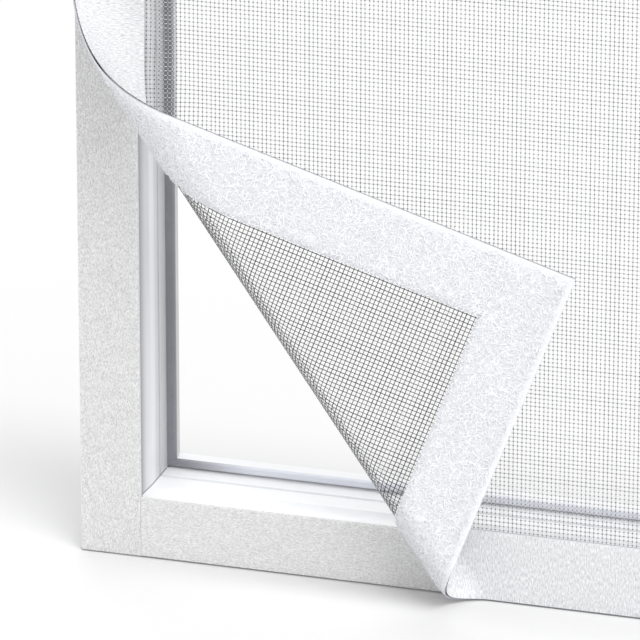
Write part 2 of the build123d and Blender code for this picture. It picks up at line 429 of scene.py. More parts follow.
# Painted shade: the upright face tapes are a darker copy of the level ones.
FACE_UPRIGHT_SHADED = Finish(
    "face_weave_upright", (0.94, 0.945, 0.96), (0.5, 0.505, 0.52), 0.75, 2800.0,
    stretch=(0.25, 1.0, 1.0), softness=0.03, relief=0.2 * MM, on_sheet=True, sheen=0.15, edge_shade=0.12 * MM,
)
FACE_LEVEL = Finish(
    "face_weave_level", (1.0, 1.0, 1.0), (0.5, 0.51, 0.54), 0.75, 2800.0,
    stretch=(1.0, 0.25, 1.0), softness=0.03, relief=0.2 * MM, on_sheet=True, sheen=0.15, edge_shade=0.12 * MM,
)
# Painted shade: the base cloth is darker than the loops' fibres, for the shade between them.
LOOP_CLOTH_SHADED = Finish(
    "loop_cloth", (0.83, 0.84, 0.87), (0.58, 0.59, 0.63), 0.85, 1300.0,
    softness=0.05, on_sheet=True, sheen=0.2, edge_shade=0.12 * MM, selvedge=0.6,
)
LOOP_FIBRE = Finish(
    "loop_fibre", (0.98, 0.985, 1.0), (0.8, 0.805, 0.83), 0.7, 700.0, relief=0.0, on_sheet=True, sheen=0.2
)


@dataclass(frozen=True)
class CoatFinish:
    """White coat of the frame, dark at its mitres, with painted shade along its foot and in the reveal of a
    stile; the stiles' white is painted a shade darker than the rails'.
    """

    upright: bool
    half_width: float
    half_height: float
    front: float
    lip: float
    rail_white: Colour = (0.92, 0.925, 0.94)
    # Painted shade: the stiles' white is a darker copy of the rails' white.
    shaded_stile_white: Colour = (0.85, 0.855, 0.875)
    # Dark end of the coat: colour of the mitre joints and of the painted shade at the foot and in the
    # reveals.
    joint_and_shade: Colour = (0.2, 0.205, 0.22)
    roughness: float = 0.42
    grain_per_metre: float = 900.0
    softness: float = 0.5
    relief: float = 0.02 * MM
    mitre_width: float = 0.35 * MM
    lip_clear: float = 2.2 * MM
    # Painted shade: height of the dark band along the foot, in place of the contact shadow.
    foot_shade_height: float = 0.55 * MM
    # Painted shade in a stile's reveal: share of the white at each depth behind the face.
    reveal_shade_tones: tuple[Range, ...] = (
        (5.4 * MM, 0.1),
        (8.0 * MM, 0.8),
        (10.0 * MM, 1.0),
        (13.0 * MM, 1.0),
        (13.8 * MM, 0.8),
        (25.5 * MM, 0.65),
    )
    deepest: float = 36.0 * MM
    outer_strip: float = 15.0 * MM
    inner_strip: float = 17.5 * MM

    @staticmethod
    def from_outside(tree: ShaderTree, place: Socket, middle: float, half: float) -> Socket:
        """Measures the distance from the nearer outer side of the frame along one axis.

        Args:
            tree: The material's nodes.
            place: Coordinate along that axis.
            middle: The frame's middle on it.
            half: Half the frame's size on it.

        Returns:
            The distance inwards from the outer side.
        """
        from_middle = tree.math("ABSOLUTE", tree.math("SUBTRACT", place, middle))
        return tree.math("SUBTRACT", half, from_middle)

    def off_mitre(self, tree: ShaderTree, across: Socket, upwards: Socket, depth: Socket) -> Socket:
        """Gives 0 on the joint line of a mitre and 1 away from it and on the thin lip.

        Args:
            tree: The material's nodes.
            across: Distance from the nearer outer side.
            upwards: Distance from the nearer of the top and the bottom.
            depth: Distance behind the frame's face.

        Returns:
            The value for each point.
        """
        distance = tree.math("ABSOLUTE", tree.math("SUBTRACT", across, upwards))
        off_line = tree.remap(distance, (0.0, self.mitre_width))
        behind = tree.math("GREATER_THAN", depth, self.lip - self.lip_clear)
        inside = tree.math("GREATER_THAN", across, self.inner_strip)
        return tree.math("MAXIMUM", off_line, tree.math("MULTIPLY", behind, inside))

    def reveal_shade(self, tree: ShaderTree, across: Socket, depth: Socket) -> Socket:
        """Gives the painted shade in the reveal of a stile: dark behind the tape's edge, where its shadow
        falls, and grey at the back.

        Args:
            tree: The material's nodes.
            across: Distance from the nearer outer side.
            depth: Distance behind the frame's face.

        Returns:
            A share of the white, 1 outside the reveal.
        """
        ramp = tree.add("ShaderNodeValToRGB", {"Fac": tree.math("DIVIDE", depth, self.deepest)})
        stops = ramp.color_ramp.elements
        stops.remove(stops[1])
        for number, (place, tone) in enumerate(self.reveal_shade_tones):
            stop = stops[0] if number == 0 else stops.new(place / self.deepest)
            stop.position = place / self.deepest
            stop.color = (tone, tone, tone, 1.0)
        outside = tree.math("LESS_THAN", across, self.outer_strip)
        return tree.math("MAXIMUM", ramp.outputs["Color"], outside)

    def build(self) -> Material:
        """Builds the material.

        Returns:
            A satin white coat on Object coordinates.
        """
        material = bpy.data.materials.new("white_coat_upright_shaded" if self.upright else "white_coat_level")
        tree = ShaderTree.of(material)
        place = tree.object_place()
        level, inwards, height = tree.split(place)
        across = self.from_outside(tree, level, 0.0, self.half_width)
        upwards = self.from_outside(tree, height, self.half_height, self.half_height)
        depth = tree.math("SUBTRACT", inwards, self.front)
        # Painted shade along the foot of the frame.
        off_foot_shade = tree.math("GREATER_THAN", height, self.foot_shade_height)
        clear = tree.math("MULTIPLY", self.off_mitre(tree, across, upwards, depth), off_foot_shade)
        # Painted shade in the reveals of the stiles.
        if self.upright:
            clear = tree.math("MULTIPLY", clear, self.reveal_shade(tree, across, depth))
        white = self.shaded_stile_white if self.upright else self.rail_white
        grain = tree.grain(place, self.grain_per_metre, self.softness)
        tree.surface(
            {
                "Base Color": tree.mix_colours(clear, self.joint_and_shade, white),
                "Roughness": self.roughness,
                "Normal": tree.relief(grain, self.relief),
            }
        )
        return material


@dataclass(frozen=True)
class SillSealFinish:
    """Rubber of the sill's seal, dark near the corner and paler away from it as painted light."""

    corner: Colour = (0.24, 0.245, 0.27)
    painted_light_colour: Colour = (0.76, 0.78, 0.85)
    corner_x: float = -139.0 * MM
    painted_light_x: float = -112.0 * MM
    roughness: float = 0.55
    grain_per_metre: float = 2500.0
    softness: float = 0.3
    relief: float = 0.03 * MM

    def build(self) -> Material:
        """Builds the material.

        Returns:
            A rubber whose colour changes along X.
        """
        material = bpy.data.materials.new("sill_seal_rubber")
        tree = ShaderTree.of(material)
        place = tree.object_place()
        # Painted light: the seal's colour grows paler from the corner towards the right.
        share = tree.remap(tree.split(place)[0], (self.corner_x, self.painted_light_x), smooth=True)
        grain = tree.grain(place, self.grain_per_metre, self.softness)
        tree.surface(
            {
                "Base Color": tree.mix_colours(share, self.corner, self.painted_light_colour),
                "Roughness": self.roughness,
                "Normal": tree.relief(grain, self.relief),
            }
        )
        return material


@dataclass(frozen=True)
class YarnFinish:
    """Coated yarn: pale towards the viewer and dark on the back, with painted shade where two threads cross.
    """

    start: float
    pitch: float
    pale: Colour = (0.95, 0.955, 0.965)
    dark: Colour = (0.035, 0.036, 0.04)
    roughness: float = 0.55
    crossing_range: Range = (0.3, 0.8)

    def crossing(self, tree: ShaderTree, distance: Socket) -> Socket:
        """Marks the places along one direction of the sheet where a thread crosses.

        Args:
            tree: The material's nodes.
            distance: Distance along that direction.

        Returns:
            A value of 1 at each crossing thread and 0 between two of them.
        """
        moved = tree.math("SUBTRACT", distance, self.start)
        wave = tree.math("COSINE", tree.math("MULTIPLY", moved, 2 * math.pi / self.pitch))
        return tree.remap(wave, self.crossing_range)

    def build(self) -> Material:
        """Builds the material.

        Returns:
            A material that reads the yarn's tone and its place on the flat sheet.
        """
        material = bpy.data.materials.new("mesh_yarn")
        tree = ShaderTree.of(material)
        from_left, from_bottom, _ = tree.split(tree.sheet_place())
        # Painted shade at each crossing, where one thread lies over the other.
        crossing_shade = tree.math("MULTIPLY", self.crossing(tree, from_left), self.crossing(tree, from_bottom))
        open_run = tree.math("SUBTRACT", 1.0, crossing_shade)
        tone = tree.add("ShaderNodeAttribute", attribute_name="tone").outputs["Fac"]
        marked = tree.math("MULTIPLY", tone, open_run)
        # A tone above 1 gives the painted highlight: pale and without crossing shade.
        unmarked = tree.math("SUBTRACT", tone, 1.0)
        share = tree.math("MAXIMUM", marked, unmarked)
        colour = tree.mix_colours(share, self.dark, self.pale)
        tree.surface({"Base Color": colour, "Roughness": self.roughness})
        return material


def link_piece(name: str, mesh: Mesh, material: Material) -> Piece:
    """Links a finished mesh as an object that rides on the body.

    Args:
        name: Name of the object.
        mesh: The mesh, in its place.
        material: Its material.

    Returns:
        The object.
    """
    mesh.materials.append(material)
    piece = bpy.data.objects.new(name, mesh)
    bpy.context.scene.collection.objects.link(piece)
    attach(piece, "root")
    LOG.info("%s: %d faces", name, len(mesh.polygons))
    return piece


def face_outward(bm: Shape) -> None:
    """Makes all faces of one closed shape look outward."""
    bmesh.ops.recalc_face_normals(bm, faces=bm.faces[:])
    if bm.calc_volume(signed=True) < 0.0:
        bmesh.ops.reverse_faces(bm, faces=bm.faces[:])


def tube(bm: Shape, radius: float, rings: int, step: float) -> None:
    """Adds a closed three-sided tube along Y.

    Args:
        bm: The empty bmesh that gets the tube.
        radius: Radius of the tube.
        rings: Number of rings along it.
        step: Distance between two rings.
    """
    ring = bmesh.ops.create_circle(bm, segments=3, radius=radius, matrix=Matrix.Rotation(math.pi / 2, 4, "X"))
    bmesh.ops.spin(
        bm, geom=ring["verts"] + bm.edges[:], axis=(0, 0, 1), cent=(0, 0, 0), dvec=(0, step, 0), angle=0.0,
        steps=rings - 1,
    )
    bmesh.ops.holes_fill(bm, edges=[edge for edge in bm.edges if edge.is_boundary])
    face_outward(bm)


def repeat(bm: Shape, shift: tuple[float, float, float], count: int) -> None:
    """Repeats all that a bmesh holds in a row.

    Args:
        bm: The bmesh.
        shift: Step from one copy to the next.
        count: Number of copies, the first one included.
    """
    if count > 1:
        geometry = bm.verts[:] + bm.edges[:] + bm.faces[:]
        bmesh.ops.spin(
            bm, geom=geometry, axis=(0, 0, 1), cent=(0, 0, 0), dvec=shift, angle=0.0, steps=count - 1,
            use_duplicate=True,
        )


def slab(columns: int, rows: int) -> Shape:
    """Makes a closed slab of unit size from a grid, to be shaped later.

    Args:
        columns: Number of faces across.
        rows: Number of faces along.

    Returns:
        A bmesh from -0.5 to 0.5 in X and Y and from 0 to 1 in Z.
    """
    bm = bmesh.new()
    bmesh.ops.create_grid(bm, x_segments=columns, y_segments=rows, size=0.5)
    raised = bmesh.ops.extrude_face_region(bm, geom=bm.faces[:])
    tops = [item for item in raised["geom"] if isinstance(item, bmesh.types.BMVert)]
    bmesh.ops.translate(bm, verts=tops, vec=(0, 0, 1))
    face_outward(bm)
    return bm


def read_points(bm: Shape) -> np.ndarray:
    """Reads the vertices of a bmesh as rows of X, Y and Z."""
    return np.array([vert.co[:] for vert in bm.verts])


class SheetPiece:
    """A piece of the screen that is shaped flat and then laid on the peeled sheet."""

    SHARP_ANGLE = math.radians(50.0)

    def __init__(self, peel: Peel) -> None:
        """Keeps the peel that the piece follows."""
        self.peel = peel

    @staticmethod
    def store_tone(mesh: Mesh, front_tone: np.ndarray) -> None:
        """Stores a tone for each face: that of its first vertex in front, 0 on the back of the sheet.

        Args:
            mesh: The mesh while it still lies flat.
            front_tone: Tone of each vertex.
        """
        count = len(mesh.polygons)
        normals = np.empty(3 * count, dtype=np.float32)
        mesh.polygons.foreach_get("normal", normals)
        starts = np.empty(count, dtype=np.int32)
        mesh.polygons.foreach_get("loop_start", starts)
        corners = np.empty(len(mesh.loops), dtype=np.int32)
        mesh.loops.foreach_get("vertex_index", corners)
        in_front = normals.reshape(-1, 3)[:, 2] > 0.0
        tone = np.where(in_front, front_tone[corners[starts]], 0.0)
        attribute = mesh.attributes.new("tone", "FLOAT", "FACE")
        attribute.data.foreach_set("value", tone.astype(np.float32))

    def finish_piece(
        self,
        name: str,
        bm: Shape,
        flat: np.ndarray,
        material: Material,
        mirrored: bool = False,
        front_tone: np.ndarray | None = None,
    ) -> Piece:
        """Turns a flat shape into an object on the peeled sheet.

        Args:
            name: Name of the object.
            bm: The shape, which is freed.
            flat: Flat place of each vertex of the shape.
            material: Its material.
            mirrored: Whether the flat places mirror the shape, so that its faces have to be turned over.
            front_tone: Tone of each vertex for the faces that look forward, where the finish reads it.

        Returns:
            The linked object, which rides on the body.
        """
        for vert, point in zip(bm.verts, flat):
            vert.co = point
        if mirrored:
            bmesh.ops.reverse_faces(bm, faces=bm.faces[:])
        mesh = bpy.data.meshes.new(name)
        bm.to_mesh(mesh)
        bm.free()
        corners = np.empty(len(mesh.loops), dtype=np.int32)
        mesh.loops.foreach_get("vertex_index", corners)
        layer = mesh.uv_layers.new(name="flat")
        layer.data.foreach_set("uv", flat[corners, :2].astype(np.float32).ravel())
        mesh.update()
        if front_tone is not None:
            self.store_tone(mesh, front_tone)
        mesh.shade_smooth()
        mesh.set_sharp_from_angle(angle=self.SHARP_ANGLE)
        mesh.vertices.foreach_set("co", self.peel.place(flat).astype(np.float32).ravel())
        mesh.update()
        return link_piece(name, mesh, material)


@dataclass
class MeshSizes:
    """Sizes of the insect mesh."""

    pitch: float = 1.28 * MM
    yarn_radius: float = 0.13 * MM
    wave: float = 0.06 * MM
    pale_tones: Range = (0.5, 0.75)
    veiled_width: float = 0.4
    # Painted highlight: tone of the threads behind the folded corner.
    veiled_highlight_tone: float = 2.0
    veil_inset: float = 10.0 * MM
    veil_sight: Range = (5.5 * MM, 7.0 * MM)
    hidden: float = 2.0 * MM
    drift: float = 0.04 * MM
    drift_turn: float = 0.09
    width_spread: float = 0.1
    width_limits: Range = (0.75, 1.3)
    bands: int = 4
    covered_share: float = 0.42
    seed: int = 11


class InsectMesh(SheetPiece):
    """The woven mesh, thread by thread, in upright bands that meet at shared crossings.

    The threads behind the folded corner are fine and pale as a painted highlight, so that the corner's own
    grid reads clearly.
    """

    def __init__(self, peel: Peel, sizes: MeshSizes) -> None:
        """Works out the thread counts and the small differences between threads."""
        super().__init__(peel)
        self.sizes = sizes
        layers = peel.layers
        self.start = layers.border - sizes.hidden
        self.span = layers.width - 2 * self.start
        self.count = round(self.span / sizes.pitch) + 1
        self.pitch = self.span / (self.count - 1)
        chance = np.random.default_rng(sizes.seed)
        self.tones = chance.uniform(*sizes.pale_tones, (2, self.count))
        self.widths = chance.normal(1.0, sizes.width_spread, (2, self.count)).clip(*sizes.width_limits)
        self.phases = chance.uniform(0.0, 2 * math.pi, (2, self.count))
        self.swings = chance.normal(0.0, sizes.drift, (2, self.count))

    def threads(
        self, direction: int, first_thread: int, threads: int, first_crossing: int, crossings: int
    ) -> tuple[Shape, np.ndarray, np.ndarray]:
        """Weaves a block of threads that run one way.

        Args:
            direction: 0 for upright threads, 1 for level ones.
            first_thread: Number of the first thread.
            threads: How many threads there are.
            first_crossing: Number of the crossing at which they begin.
            crossings: How many crossings they pass.

        Returns:
            The bmesh, its flat points and the tone of each point.
        """
        bm = bmesh.new()
        tube(bm, self.sizes.yarn_radius, crossings, self.pitch)
        repeat(bm, (self.pitch, 0, 0), threads)
        points = read_points(bm)
        thread = np.rint(points[:, 0] / self.pitch).astype(int)
        crossing = np.rint(points[:, 1] / self.pitch).astype(int) + first_crossing
        offset = points[:, 0] - thread * self.pitch
        thread += first_thread
        line = self.start + thread * self.pitch
        along = self.start + crossing * self.pitch
        middle = np.column_stack((line, along) if direction == 0 else (along, line))
        sizes = self.sizes
        veiled = self.peel.behind_flap(middle, sizes.veil_sight, sizes.veil_inset)
        width = self.widths[direction, thread] * np.where(veiled, sizes.veiled_width, 1.0)
        over = np.where((thread + crossing + direction) % 2 == 0, 1.0, -1.0)
        turned = sizes.drift_turn * crossing + self.phases[direction, thread]
        swing = self.swings[direction, thread] * np.sin(turned)
        across = line + offset * width + swing
        height = points[:, 2] * width + over * sizes.wave
        columns = (across, along, height)
        if direction == 1:
            columns = (along, across, height)
            bmesh.ops.reverse_faces(bm, faces=bm.faces[:])
        # Painted highlight on the threads behind the folded corner.
        tone = np.where(veiled, sizes.veiled_highlight_tone, self.tones[direction, thread])
        return bm, np.column_stack(columns), tone

    def build(self) -> list[Piece]:
        """Builds the bands and hides the mesh's own solid.

        Returns:
            The bands from left to right.
        """
        material = YarnFinish(self.start, self.pitch).build()
        pieces = []
        last = self.count - 1
        for band in range(self.sizes.bands):
            begin = band * last // self.sizes.bands
            end = (band + 1) * last // self.sizes.bands
            uprights = end - begin + (1 if end == last else 0)
            blocks = [
                self.threads(0, begin, uprights, 0, self.count),
                self.threads(1, 0, self.count, begin, end - begin + 1),
            ]
            joined = bmesh.new()
            for bm, _, _ in blocks:
                block = bpy.data.meshes.new("thread_block")
                bm.to_mesh(block)
                bm.free()
                joined.from_mesh(block)
                bpy.data.meshes.remove(block)
            flat = np.vstack([block[1] for block in blocks])
            tone = np.concatenate([block[2] for block in blocks])
            piece = self.finish_piece(f"mesh_band_{band + 1}", joined, flat, material, front_tone=tone)
            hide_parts("insect_mesh")
            pieces.append(piece)
        return pieces


@dataclass
class TapeSizes:
    """Sizes of the border tapes."""

    rib_pitch: float = 0.8 * MM
    rib_height: float = 0.045 * MM
    face_columns: int = 10
    selvedge: float = 0.8 * MM
    selvedge_share: float = 0.5
    outer_margin: float = 0.6 * MM
    outer_slope: float = 3.0 * MM
    inner_margin: float = 0.1 * MM
    inner_slope: float = 1.0 * MM
    pile_columns: int = 14
    pile_row: float = 1.2 * MM
    pile_low: float = 0.94
    fibre_count: int = 8000
    fibre_radius: float = 0.13 * MM
    fibre_length: float = 3.0 * MM
    fibre_rise: float = 0.32 * MM
    fibre_root: float = 0.09 * MM
    seed: int = 5


class BorderTape(SheetPiece):
    """One side of the screen's border: a woven face tape in front and a loop tape behind the mesh."""

    def __init__(self, peel: Peel, side: Side, sizes: TapeSizes) -> None:
        """Keeps the side and finds its area on the flat sheet."""
        super().__init__(peel)
        self.side = side
        self.sizes = sizes
        self.area = np.array(peel.layers.tape_area(side))
        self.upright = side in (Side.LEFT, Side.RIGHT)
        self.peeled = side in (Side.LEFT, Side.BOTTOM)
        extent = self.area[2:] - self.area[:2]
        self.width, self.length = (extent if self.upright else extent[::-1])

    def on_sheet(self, across: np.ndarray, along: np.ndarray, height: np.ndarray) -> np.ndarray:
        """Turns places on the tape into flat points of the sheet.

        Args:
            across: Distances from the tape's left or lower edge.
            along: Distances from its lower or left end.
            height: Heights in front of the middle of the mesh.

        Returns:
            Rows of flat points.
        """
        level, rise = (across, along) if self.upright else (along, across)
        return np.column_stack((self.area[0] + level, self.area[1] + rise, height))

    def declare(self, piece: Piece, node: str, slot: str, carrier: str) -> None:
        """Hides the solid that a tape stands for.

        Args:
            piece: The tape. Not used.
            node: The solid that it stands for.
            slot: Its material slot. Not used.
            carrier: The node that it lies on. Not used.
        """
        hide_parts(node)

    def build_face(self, material: Material) -> Piece:
        """Builds the woven face tape with a rib for every weft thread.

        Args:
            material: The weave.

        Returns:
            The tape.
        """
        sizes, layers = self.sizes, self.peel.layers
        columns = sizes.face_columns if self.peeled else sizes.face_columns // 2
        rows = 2 * round(self.length / sizes.rib_pitch)
        bm = slab(columns, rows)
        unit = read_points(bm)
        across = (unit[:, 0] + 0.5) * self.width
        along = (unit[:, 1] + 0.5) * self.length
        from_edge = np.minimum(across, self.width - across)
        rib = np.where(np.rint((unit[:, 1] + 0.5) * rows) % 2 == 0, 1.0, -1.0)
        thick = layers.face_front - layers.face_back
        full = np.clip(from_edge / sizes.selvedge, 0.0, 1.0)
        swell = sizes.selvedge_share + (1.0 - sizes.selvedge_share) * full
        uneven = np.random.default_rng(sizes.seed).uniform(0.3, 1.0, rows + 1)
        depth = sizes.rib_height * uneven[np.rint((unit[:, 1] + 0.5) * rows).astype(int)]
        front = layers.face_back + thick * swell + depth * (rib - 1.0)
        height = np.where(unit[:, 2] > 0.5, front, layers.face_back)
        flat = self.on_sheet(across, along, height)
        piece = self.finish_piece(f"face_weave_{self.side.value}", bm, flat, material, not self.upright)
        self.declare(piece, f"face_tape_{self.side.value}", "face_tape", f"loop_tape_{self.side.value}")
        return piece

    def pile_share(self, across: np.ndarray, along: np.ndarray) -> np.ndarray:
        """Gives the height of the pile across the tape, from a bare outer margin to the inner edge.

        Args:
            across: Distances from the tape's left or lower edge.
            along: Distances from its lower or left end.

        Returns:
            Shares of the full pile height.
        """
        sizes = self.sizes
        first_side = self.side in (Side.LEFT, Side.BOTTOM)
        from_outer = across if first_side else self.width - across
        from_inner = self.width - from_outer
        outer = np.clip((from_outer - sizes.outer_margin) / sizes.outer_slope, 0.0, 1.0)
        inner = np.clip((from_inner - sizes.inner_margin) / sizes.inner_slope, 0.0, 1.0)
        if self.upright:
            from_end = np.minimum(along, self.length - along)
            inner = np.where(from_end < self.width, 1.0, inner)
            outer = outer * np.clip((from_end - sizes.outer_margin) / sizes.outer_slope, 0.0, 1.0)
        smooth_outer = outer * outer * (3.0 - 2.0 * outer)
        return smooth_outer * np.sqrt(inner)

    def build_loop(self, material: Material) -> Piece:
        """Builds the loop tape: a smooth base with a raised, uneven pile that thins out at its edges.

        Args:
            material: The cloth.

        Returns:
            The tape.
        """
        sizes, layers = self.sizes, self.peel.layers
        columns = sizes.pile_columns
        rows = round(self.length / (sizes.pile_row if self.peeled else 4 * sizes.pile_row))
        bm = slab(columns, rows)
        unit = read_points(bm)
        across = (unit[:, 0] + 0.5) * self.width
        along = (unit[:, 1] + 0.5) * self.length
        chance = np.random.default_rng(sizes.seed)
        uneven = chance.uniform(sizes.pile_low, 1.0, len(unit))
        rise = (layers.pile_back - layers.loop_back) * self.pile_share(across, along) * uneven
        height = np.where(unit[:, 2] > 0.5, layers.loop_front, layers.loop_back + rise)
        flat = self.on_sheet(across, along, height)
        piece = self.finish_piece(f"loop_cloth_{self.side.value}", bm, flat, material, not self.upright)
        self.declare(piece, f"loop_tape_{self.side.value}", "loop_pile", f"hook_tape_{self.side.value}")
        return piece


class FibreField(SheetPiece):
    """Thousands of short fibres that grow on one area of the sheet or of the frame."""

    ROW = 80
    GAP = 20.0

    def block(self, count: int, rings: int) -> tuple[Shape, np.ndarray, np.ndarray, np.ndarray]:
        """Makes a block of equal straight fibres, to be shaped one by one.

        Args:
            count: Number of fibres wanted.
            rings: Rings in each fibre.

        Returns:
            The bmesh and, for each vertex, its fibre, its ring and its place in the unit section.
        """
        bm = bmesh.new()
        tube(bm, 1.0, rings, self.GAP)
        repeat(bm, (self.GAP, 0, 0), min(self.ROW, count))
        repeat(bm, (0, self.GAP * rings, 0), math.ceil(count / self.ROW))
        points = read_points(bm)
        column = np.rint(points[:, 0] / self.GAP).astype(int)
        step = np.rint(points[:, 1] / self.GAP).astype(int)
        section = np.column_stack((points[:, 0] - column * self.GAP, points[:, 2]))
        return bm, column + self.ROW * (step // rings), step % rings, section


class LoopPile(FibreField):
    """Loose loops of the pile on the peeled part of a loop tape, where they show."""

    RINGS = 4

    def build(self, tape: BorderTape, material: Material) -> Piece:
        """Grows the loops on one tape.

        Args:
            tape: The border tape that carries them.
            material: The fibre.

        Returns:
            The piece with all loops of this tape.
        """
        sizes, layers = tape.sizes, self.peel.layers
        chance = np.random.default_rng(sizes.seed + 1)
        share = tape.length / (layers.width + layers.height)
        tries = round(sizes.fibre_count * share * 2)
        across = chance.uniform(0.0, tape.width, tries)
        along = chance.uniform(0.0, tape.length, tries)
        roots = tape.on_sheet(across, along, np.zeros(tries))
        grown = chance.uniform(0.0, 1.0, tries) < tape.pile_share(across, along)
        shown = grown & (self.peel.beyond_fold(roots) > 1.0 * MM)
        roots, pile = roots[shown], tape.pile_share(across, along)[shown]
        bm, fibre, ring, section = self.block(len(roots), self.RINGS)
        fibres = int(fibre.max()) + 1
        again = np.arange(fibres) % len(roots)
        roots, pile = roots[again], pile[again]
        heading = chance.uniform(0.0, 2 * math.pi, fibres)
        length = chance.uniform(0.6, 1.2, fibres) * sizes.fibre_length * (0.4 + 0.6 * pile)
        bend = chance.normal(0.0, 0.35, fibres) * length
        rise = chance.uniform(0.5, 1.0, fibres) * sizes.fibre_rise
        share_along = ring / (self.RINGS - 1)
        arch = np.sin(math.pi * share_along)
        forward = np.column_stack((np.cos(heading), np.sin(heading)))[fibre]
        side = np.column_stack((-forward[:, 1], forward[:, 0]))
        middle = roots[fibre, :2] + forward * ((share_along - 0.5) * length[fibre])[:, None]
        middle = middle + side * (arch * bend[fibre] + section[:, 0] * sizes.fibre_radius)[:, None]
        middle = np.clip(middle, 0.0, np.array([layers.width, layers.height]))
        over_mesh = (middle > layers.border).all(axis=1)
        middle[over_mesh, 0 if tape.upright else 1] = layers.border
        base = layers.loop_back + (layers.pile_back - layers.loop_back) * pile[fibre] + sizes.fibre_root
        height = base - arch * rise[fibre] + section[:, 1] * sizes.fibre_radius
        flat = np.column_stack((middle, height))
        piece = self.finish_piece(f"loop_pile_{tape.side.value}", bm, flat, material, True)
        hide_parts(f"loop_tape_{tape.side.value}")
        return piece


@dataclass
class HookSizes:
    """Sizes of the hooks on the bare part of the hook tape."""

    pitch: float = 0.76 * MM
    radius: float = 0.07 * MM
    height: float = 0.25 * MM
    lean: float = 0.25 * MM
    margin: float = 0.6 * MM
    clear_of_fold: float = 5.0 * MM
    scatter: float = 0.3
    ring_heights: tuple[float, float, float] = (-0.1, 0.85, 1.0)
    ring_leans: tuple[float, float, float] = (0.0, 0.25, 1.0)
    ring_widths: tuple[float, float, float] = (1.0, 0.9, 0.55)
    seed: int = 3


class HookField(FibreField):
    """Small bent hooks on the hook tape, where the screen has been peeled off it."""

    RINGS = 3

    def build(self, side: Side, sizes: HookSizes, material: Material) -> Piece:
        """Grows the hooks on one hook tape.

        Args:
            side: Side of the frame.
            sizes: The hooks' sizes.
            material: Their finish.

        Returns:
            The piece with all hooks of this tape.
        """
        layers = self.peel.layers
        low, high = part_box(f"hook_tape_{side.value}")
        chance = np.random.default_rng(sizes.seed)
        across = np.arange(low[0] + sizes.margin, high[0] - sizes.margin, sizes.pitch)
        upwards = np.arange(low[2] + sizes.margin, high[2] - sizes.margin, sizes.pitch)
        grid = np.stack(np.meshgrid(across, upwards), axis=-1).reshape(-1, 2)
        grid = grid + chance.uniform(-sizes.scatter, sizes.scatter, grid.shape) * sizes.pitch
        flat = grid - np.array([layers.left, layers.bottom])
        roots = grid[self.peel.beyond_fold(flat) > sizes.clear_of_fold]
        bm, hook, ring, section = self.block(len(roots), self.RINGS)
        hooks = int(hook.max()) + 1
        roots = roots[np.arange(hooks) % len(roots)]
        turn = chance.normal(0.0, 0.5, hooks) + (math.pi / 2 if side is Side.LEFT else 0.0)
        turn += math.pi * chance.integers(0, 2, hooks)
        forward = np.column_stack((np.cos(turn), np.sin(turn)))[hook]
        beside = np.column_stack((-forward[:, 1], forward[:, 0]))
        stand = np.array(sizes.ring_heights)[ring] * sizes.height
        lean = np.array(sizes.ring_leans)[ring] * sizes.lean
        thin = np.array(sizes.ring_widths)[ring] * sizes.radius
        ground = roots[hook] + forward * (lean + section[:, 1] * thin)[:, None]
        ground = ground + beside * (section[:, 0] * thin)[:, None]
        placed = np.column_stack((ground[:, 0], low[1] - stand, ground[:, 1]))
        for vert, point in zip(bm.verts, placed):
            vert.co = point
        name = f"hooks_{side.value}"
        mesh = bpy.data.meshes.new(name)
        bm.to_mesh(mesh)
        bm.free()
        mesh.shade_smooth()
        piece = link_piece(name, mesh, material)
        return piece


class WindowFrame:
    """The frame's own solids, which keep their shape and get their finishes."""

    def dress(self) -> None:
        """Gives each visible solid of the frame its finish."""
        low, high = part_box("frame_left_stile")
        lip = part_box("seal_left")[1][1] - low[1]
        sizes = (-low[0], high[2] / 2, low[1], lip)
        shaded_stile_coat = CoatFinish(True, *sizes).build()
        rail_coat = CoatFinish(False, *sizes).build()
        rubber = SEAL_RUBBER.build()
        sill_rubber = SillSealFinish().build()
        metal = CLEAT_METAL.build()
        upright = HOOK_STILE_SHADED.build()
        level = HOOK_RAIL.build()
        for name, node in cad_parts.items():
            if name.startswith("frame_"):
                self.coat(node, shaded_stile_coat if name.endswith("stile") else rail_coat)
            elif name.startswith("seal_"):
                self.coat(node, sill_rubber if name.endswith("bottom") else rubber)
            elif name.startswith("corner_cleat"):
                self.coat(node, metal)
            elif name.startswith("hook_tape"):
                self.coat(node, upright if name.endswith(("left", "right")) else level)

    @staticmethod
    def coat(node: Piece, material: Material) -> None:
        """Puts one material on a solid in place of what it came with."""
        node.data.materials.clear()
        node.data.materials.append(material)
        LOG.info("%s: %s", node.name, material.name)


@dataclass(frozen=True)
class Lamp:
    """A broad soft lamp, given by where it shines from."""

    name: str
    strength: float
    azimuth: float
    elevation: float
    spread: float


